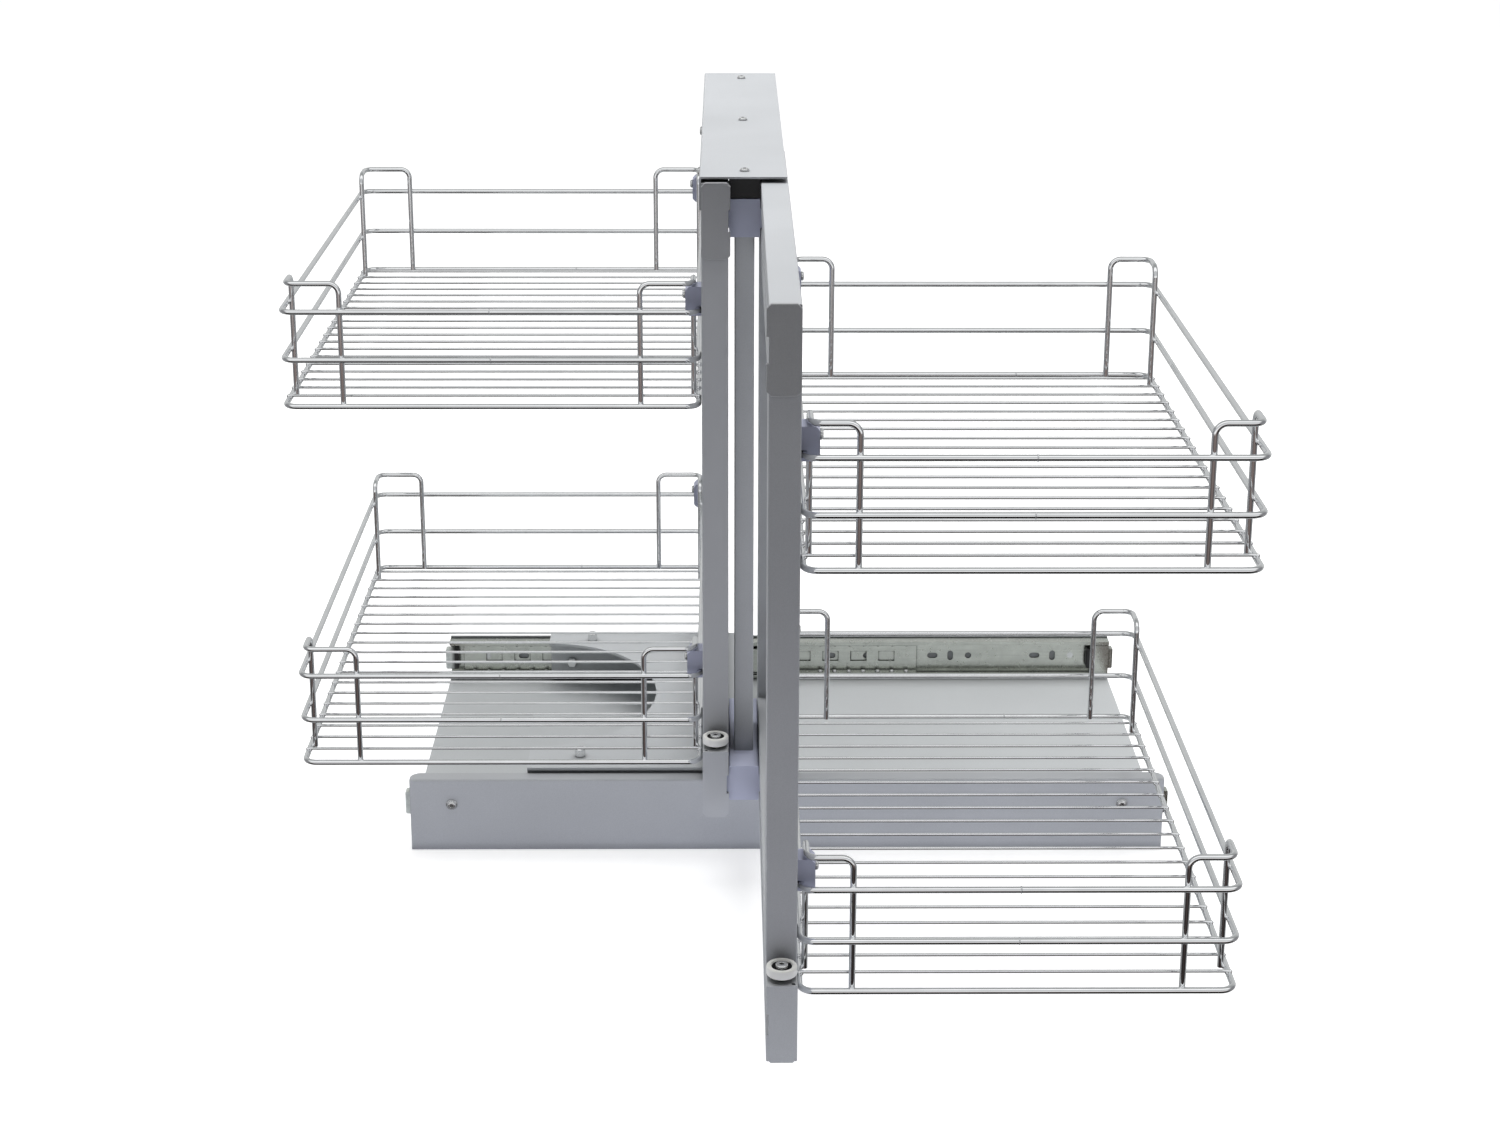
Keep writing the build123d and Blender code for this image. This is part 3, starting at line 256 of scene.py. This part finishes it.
# The bearing's seal: near-black and dull, partly its own colour and partly painted shade in its
# recess
seal_with_painted_shade = moulded("bearing seal with painted shade", (0.008, 0.008, 0.009), 0.60, specular=0.12)
for subpart in frame["record"]["subparts"]:
    node = subpart["node"]
    mesh = frame["nodes"][node].data
    mesh.materials.clear()
    mesh.materials.append(own_finish.get(node) or materials[subpart["material_slot"]])


# Finer pieces that stand for the CAD's, or on them
SMOOTH_UNDER = math.radians(38)


class Pieces:
    """Gathers vertices and faces in millimetres into one smooth mesh."""

    def __init__(self):
        self.verts, self.faces = [], []

    def turned(self, rings, place, closed=False, sides=64):
        """Rings of (radius, height, sided) along the place's Z axis. A sided one is a hexagon."""
        start = len(self.verts)
        for radius, height, sided in rings:
            for n in range(sides):
                angle = 2 * math.pi * n / sides
                off_flat = (angle + math.pi / 6) % (math.pi / 3) - math.pi / 6
                r = radius / math.cos(off_flat) if sided else radius
                point = Vector((r * math.cos(angle), r * math.sin(angle), height))
                self.verts.append(place @ point)
        count = len(rings)
        for k in range(count if closed else count - 1):
            for n in range(sides):
                a, b = k * sides, (k + 1) % count * sides
                m = (n + 1) % sides
                self.faces.append([start + i for i in (a + n, a + m, b + m, b + n)])
        if not closed:
            self.faces.append([start + n for n in reversed(range(sides))])
            self.faces.append([start + (count - 1) * sides + n for n in range(sides)])

    def bead(self, centre, radii, sides=10):
        """A small ellipsoid, as a drop of weld."""
        angles = [math.pi * (step / 6 - 0.5) for step in range(1, 6)]
        rings = round_rings((math.cos(angle), math.sin(angle)) for angle in angles)
        place = Matrix.Translation(centre) @ Matrix.Diagonal((*radii, 1.0))
        self.turned(rings, place, sides=sides)

    def finish(self, name, body, slot, replaces=(), look=None):
        mesh = bpy.data.meshes.new(name)
        mesh.from_pydata([v * MM for v in self.verts], [], self.faces)
        mesh.update()
        shape = bmesh.new()
        shape.from_mesh(mesh)
        bmesh.ops.recalc_face_normals(shape, faces=shape.faces)
        shape.to_mesh(mesh)
        shape.free()
        mesh.shade_smooth()
        mesh.set_sharp_from_angle(angle=SMOOTH_UNDER)
        mesh.materials.append(look or materials[slot])
        piece = bpy.data.objects.new(name, mesh)
        bpy.context.scene.collection.objects.link(piece)
        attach(piece, body)
        if replaces:
            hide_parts(*replaces)


def box_mm(node):
    low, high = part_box(node)
    return Vector(low) / MM, Vector(high) / MM


def round_rings(points):
    return [(radius, height, False) for radius, height in points]


# Profiles as (radius, height) in millimetres. The roller's stand on the tyre's underside
TYRE = (
    (7.0, 0.0), (9.3, 0.0), (10.0, 0.22), (10.38, 0.7), (10.5, 1.4), (10.5, 5.1), (10.38, 5.8),
    (10.0, 6.28), (9.4, 6.5), (8.0, 6.5), (7.6, 6.38), (7.35, 6.0), (7.3, 5.75), (7.0, 5.7))
OUTER_RACE = (
    (7.0, 0.75), (7.0, 5.65), (6.95, 5.75), (6.85, 5.75), (6.8, 5.6), (6.8, 0.9), (6.85, 0.75))
INNER_RACE = (
    (3.05, 0.75), (4.1, 0.75), (4.2, 0.9), (4.2, 5.6), (4.1, 5.75), (3.2, 5.75), (3.05, 5.6))
SHIELD = ((4.2, 1.2), (6.8, 1.2), (6.8, 4.9), (6.3, 4.7), (4.7, 4.7), (4.2, 4.9))
AXLE_END = ((2.75, 0.0), (3.0, 0.3))
AXLE_HEAD = (
    (3.0, -1.6), (4.05, -1.6), (4.2, -1.45), (4.2, -0.7), (4.0, -0.3), (3.5, -0.05), (3.0, 0.0))
BUTTON_HEAD = (
    (2.7, -3.4), (2.9, -3.2), (2.9, 0.0), (4.6, 0.0), (4.75, 0.2), (4.6, 0.55), (4.05, 0.75),
    (3.95, 1.5), (3.6, 2.15), (3.0, 2.6), (2.3, 2.8))
SOCKET = ((1.65, 0.0), (1.55, -0.12), (1.55, -1.25))
SOCKET_BOTTOM = (0.5, -1.45)


def raised(points, by):
    return [(radius, height + by) for radius, height in points]


def socket_head(points):
    """A head's outline, carried on down into a hexagonal socket."""
    top = points[-1][1]
    socket = [(radius, height, True) for radius, height in raised(SOCKET, top)]
    return round_rings(points) + socket + round_rings(raised([SOCKET_BOTTOM], top))


def guide_roller(place_name, body, roller_body):
    """Round-edged tyre, the bearing's races and dark shield, and the axle's socket head. The shield
    is partly painted shade.
    """
    roller = f"{place_name}_roller"
    low, high = box_mm(f"{roller}_tyre")
    axle_low, axle_high = box_mm(f"{roller}_axle")
    centre = (low + high) / 2
    place = Matrix.Translation((centre.x, centre.y, low.z))
    tyre, races, shield, axle = Pieces(), Pieces(), Pieces(), Pieces()
    tyre.turned(round_rings(TYRE), place, closed=True)
    races.turned(round_rings(OUTER_RACE), place, closed=True)
    races.turned(round_rings(INNER_RACE), place, closed=True)
    shield.turned(round_rings(SHIELD), place, closed=True)
    outline = raised(AXLE_END, axle_low.z - low.z) + raised(AXLE_HEAD, axle_high.z - low.z)
    axle.turned(socket_head(outline), place)
    tyre.finish(f"{roller}_tyre_turned", roller_body, "white_plastic", [f"{roller}_tyre"])
    races.finish(f"{roller}_races", roller_body, "zinc_fastener", [f"{roller}_bearing"])
    shield.finish(f"{roller}_shield", roller_body, "black_plastic", look=seal_with_painted_shade)
    axle.finish(f"{roller}_socket_screw", body, "zinc_fastener", [f"{roller}_axle"])


def apron_screws():
    """Flanged button heads with a hexagonal socket, through the apron into the front slide."""
    low, high = box_mm("apron_bolts")
    face_y = box_mm("base_apron")[0].y
    head_r = (high.z - low.z) / 2
    forwards = Matrix.Rotation(math.pi / 2, 4, "X")
    heads = Pieces()
    for x in (low.x + head_r, high.x - head_r):
        place = Matrix.Translation((x, face_y, (low.z + high.z) / 2)) @ forwards
        heads.turned(socket_head(BUTTON_HEAD), place)
    heads.finish("apron_socket_screws", "base", "zinc_fastener", ["apron_bolts"])


# The baskets' wires in millimetres, as the CAD has them. The loops stand inside the rings by
# LOOP_INSET, and their legs are measured from the corners: along Y, and along X on each unit
WIRE_R = 2.25
RING_LEVELS = (0, 38, 77)
LOOP_INSET = 4.1
SIDE_LEG = 33.5
FRONT_LEG, REAR_LEG = 36, 46
FLOOR_WIRES, FLOOR_PITCH = 19, 24

# The weld beads' half sizes along X, Y and Z. The floor wires' ends have two each, that stand at
# (outwards, along Y, up) from the ring's wire
END_BEAD, END_BEAD_AT = (2.1, 1.75, 1.5), (0.1, 0.0, 2.6)
INNER_BEAD, INNER_BEAD_AT = (1.7, 1.9, 1.4), (-1.6, 0.4, 1.5)
LEG_BEAD, SIDE_LEG_BEAD = (2.3, 1.5, 2.0), (1.5, 2.3, 2.0)
LEG_BEAD_UP = 0.4
SEAM = (0.9, WIRE_R + 0.45, WIRE_R + 0.45)
SEAM_SIDES = 24
BACK_SEAM_ASIDE = 40


def basket_welds(place_name, tier, body, leg):
    """Weld beads where the wires cross, and the seam left by each ring's butt joint."""
    node = f"{place_name}_{tier}_basket"
    low, high = box_mm(node)
    x0, x1 = low.x + WIRE_R, high.x - WIRE_R
    y0, y1 = low.y + WIRE_R, high.y - WIRE_R
    z = low.z + WIRE_R
    middle_x, middle_y = (x0 + x1) / 2, (y0 + y1) / 2
    welds = Pieces()
    for n in range(FLOOR_WIRES):
        y = middle_y + (n - (FLOOR_WIRES - 1) / 2) * FLOOR_PITCH
        for x, out in ((x0, -1), (x1, 1)):
            for radii, at in ((END_BEAD, END_BEAD_AT), (INNER_BEAD, INNER_BEAD_AT)):
                welds.bead((x + out * at[0], y + at[1], z + at[2]), radii)
    for x, to_x in ((x0, 1), (x1, -1)):
        for y, to_y in ((y0, 1), (y1, -1)):
            for level in RING_LEVELS:
                up = z + level + LEG_BEAD_UP
                welds.bead((x + to_x * leg, y + to_y * LOOP_INSET / 2, up), LEG_BEAD)
                welds.bead((x + to_x * LOOP_INSET / 2, y + to_y * SIDE_LEG, up), SIDE_LEG_BEAD)
    for level in RING_LEVELS[1:]:
        welds.bead((middle_x, y0, z + level), SEAM, SEAM_SIDES)
    welds.bead((middle_x + BACK_SEAM_ASIDE, y1, z), SEAM, SEAM_SIDES)
    welds.finish(f"{node}_welds", body, "chrome_wire")


guide_roller("front", "front_unit", "front_roller")
guide_roller("rear", "carriage", "rear_roller")
apron_screws()
for tier in ("lower", "upper"):
    basket_welds("front", tier, "front_unit", FRONT_LEG)
    basket_welds("rear", tier, "carriage", REAR_LEG)


# Camera, as fitted to the photograph: angles in radians, lengths in its pixels and in metres
PITCH, YAW, ROLL = 0.3067, 0.0094, 0.0025
FOCAL_PX, SHIFT_PX, PHOTO_W = 2535.38, -100.0, 1500
CAMERA_PLACE, SEES_UP_TO = (-0.05095, -2.1435, 0.9722), 100.0
SENSOR_MM = 36.0


def photo_camera():
    ahead = (math.sin(YAW) * math.cos(PITCH), math.cos(YAW) * math.cos(PITCH), -math.sin(PITCH))
    forward = Vector(ahead)
    level = Vector((math.cos(YAW), -math.sin(YAW), 0.0))
    upright = level.cross(forward)
    right = math.cos(ROLL) * level + math.sin(ROLL) * upright
    up = math.cos(ROLL) * upright - math.sin(ROLL) * level
    camera = bpy.data.objects.new("camera", bpy.data.cameras.new("camera"))
    bpy.context.scene.collection.objects.link(camera)
    camera.data.sensor_fit = "HORIZONTAL"
    camera.data.sensor_width = SENSOR_MM
    camera.data.lens = FOCAL_PX / PHOTO_W * SENSOR_MM
    camera.data.shift_y = SHIFT_PX / PHOTO_W
    camera.data.clip_end = SEES_UP_TO
    turn = Matrix((right, up, -forward)).transposed().to_4x4()
    camera.matrix_world = Matrix.Translation(CAMERA_PLACE) @ turn
    bpy.context.scene.camera = camera


def softbox(name, place, aim, size, watts, color=(1, 1, 1)):
    """A lamp that lights the object, and that polished metal doesn't mirror."""
    data = bpy.data.lights.new(name, "AREA")
    data.shape = "RECTANGLE"
    data.size, data.size_y = size
    data.energy = watts
    data.color = color
    lamp = bpy.data.objects.new(name, data)
    bpy.context.scene.collection.objects.link(lamp)
    lamp.location = place
    lamp.visible_glossy = False
    lamp.rotation_euler = (Vector(aim) - Vector(place)).to_track_quat("-Z", "Y").to_euler()


# The floor. Round TABLE_MIDDLE it glows for diffuse rays: painted light from below, as from a lit
# table. To the camera it adds WHITE_NEAR to what the lamps make of its grey, and WHITE_MORE further
# away
FLOOR_REACH, FLOOR_DROP = 16.0, 0.0004
FLOOR_GREY = (0.70, 0.70, 0.70, 1)
TABLE_MIDDLE, TABLE_EDGE = (0.0, -0.35, 0.0), (0.5, 1.0)
TABLE_COLOR, TABLE_LEVEL = (0.86, 0.885, 1.0, 1), 0.94
WHITE_NEAR, WHITE_MORE, WHITE_EDGE = 0.60, 0.18, (0.7, 2.2)
WHITE = (1, 1, 1, 1)


def white_floor():
    """Shows white to the camera and keeps a soft shadow. Mirrors see the world in its place."""
    mesh = bpy.data.meshes.new("floor")
    ways = ((-1, -1), (1, -1), (1, 1), (-1, 1))
    corners = [(x * FLOOR_REACH, y * FLOOR_REACH, 0) for x, y in ways]
    mesh.from_pydata(corners, [], [(0, 1, 2, 3)])
    floor = bpy.data.objects.new("floor", mesh)
    bpy.context.scene.collection.objects.link(floor)
    floor.location.z = -FLOOR_DROP
    floor.visible_glossy = False
    mat = bpy.data.materials.new("pale floor")
    mat.use_nodes = True
    graph = Graph(mat.node_tree)
    path = graph.make("LightPath").outputs
    place = graph.make("TexCoord").outputs["Object"]
    away = graph.make("VectorMath", (place, TABLE_MIDDLE), operation="DISTANCE").outputs["Value"]
    table = graph.math("SUBTRACT", 1.0, graph.smooth(away, *TABLE_EDGE))
    lit = graph.math("MULTIPLY", path["Is Diffuse Ray"], table)
    # Painted light: the floor's glow for diffuse rays round TABLE_MIDDLE
    painted_table_glow = graph.make("Emission", (TABLE_COLOR, graph.math("MULTIPLY", lit, TABLE_LEVEL)))
    whiteness = graph.math("MULTIPLY_ADD", graph.smooth(away, *WHITE_EDGE), WHITE_MORE, WHITE_NEAR)
    seen = graph.make("Emission", (WHITE, graph.math("MULTIPLY", path["Is Camera Ray"], whiteness)))
    cloth = graph.make("BsdfDiffuse", (FLOOR_GREY,))
    glowing = graph.make("AddShader", (cloth.outputs[0], painted_table_glow.outputs[0]))
    both = graph.make("AddShader", (glowing.outputs[0], seen.outputs[0]))
    graph.make("OutputMaterial", (both.outputs[0],))
    mesh.materials.append(mat)


# The world. The studio's dark side is behind the camera, for the painted faces that look there
CAMERA_SIDE = (0.0, -0.94, 0.34)
DARK_EDGE, DARK_DEPTH = (0.10, 0.70), 0.97
ROOM_LEVEL = 0.50

# What polished metal mirrors, by the angle round the X axis in degrees: 0 is the horizon on the
# camera's side, 90 straight up and 180 the horizon behind
MIRRORED = (
    (-180, (0.52, 0.53, 0.53)), (-162, (0.45, 0.46, 0.46)), (-120, (0.32, 0.33, 0.33)),
    (-96, (0.28, 0.28, 0.28)), (-80, (0.012, 0.010, 0.010)), (-30, (0.022, 0.018, 0.018)),
    (-23, (0.12, 0.095, 0.09)), (-15, (0.22, 0.18, 0.17)), (-11, (0.90, 0.90, 0.90)),
    (0, (1.00, 1.00, 1.00)), (7, (0.60, 0.61, 0.62)), (45, (0.56, 0.57, 0.58)),
    (55, (1.08, 1.08, 1.08)), (82, (1.08, 1.08, 1.08)), (93, (0.35, 0.36, 0.36)),
    (114, (0.33, 0.34, 0.34)), (136, (0.42, 0.43, 0.43)), (162, (0.60, 0.61, 0.61)),
    (180, (0.52, 0.53, 0.53)),
)
MIRRORED_SIDE = (0.24, 0.24, 0.25, 1)
SIDE_EDGE = (0.74, 0.97)


def studio_world():
    world = bpy.data.worlds.new("studio")
    bpy.context.scene.world = world
    world.use_nodes = True
    graph = Graph(world.node_tree)
    path = graph.make("LightPath").outputs
    direction = graph.make("TexCoord").outputs["Generated"]
    across, depth, height = graph.make("SeparateXYZ", (direction,)).outputs
    turn = graph.math("ARCTAN2", height, graph.math("MULTIPLY", depth, -1.0))
    stops = [(degrees / 360 + 0.5, color) for degrees, color in MIRRORED]
    round_x = graph.ramp(graph.math("MULTIPLY_ADD", turn, 0.5 / math.pi, 0.5), *stops)
    sideways = graph.smooth(graph.math("ABSOLUTE", across), *SIDE_EDGE)
    inputs = {"Factor": sideways, "A": round_x, "B": MIRRORED_SIDE}
    mirrored = graph.make("Mix", inputs, data_type="RGBA").outputs["Result"]
    facing = graph.make("VectorMath", (direction, CAMERA_SIDE), operation="DOT_PRODUCT")
    dark = graph.smooth(facing.outputs["Value"], *DARK_EDGE)
    light = graph.math("MULTIPLY_ADD", dark, -DARK_DEPTH, 1.0)
    room = graph.make("Background", (WHITE, graph.math("MULTIPLY", light, ROOM_LEVEL)))
    shown = graph.make("Background", (mirrored, 1.0))
    white = graph.make("Background", (WHITE, 1.0))
    lit = graph.make("MixShader", (path["Is Glossy Ray"], room.outputs[0], shown.outputs[0]))
    pick = graph.make("MixShader", (path["Is Camera Ray"], lit.outputs[0], white.outputs[0]))
    graph.make("OutputWorld", (pick.outputs[0],))


photo_camera()
softbox("top softbox", place=(0.0, 0.25, 2.6), aim=(0.0, -0.1, 0.3), size=(2.6, 2.6), watts=77)
softbox(
    "low front fill", place=(-0.4, -2.9, 0.2), aim=(0.0, -0.4, 0.05), size=(2.4, 0.5), watts=1,
    color=(0.88, 0.92, 1.0))
white_floor()
studio_world()
bpy.context.scene.view_settings.view_transform = "Standard"
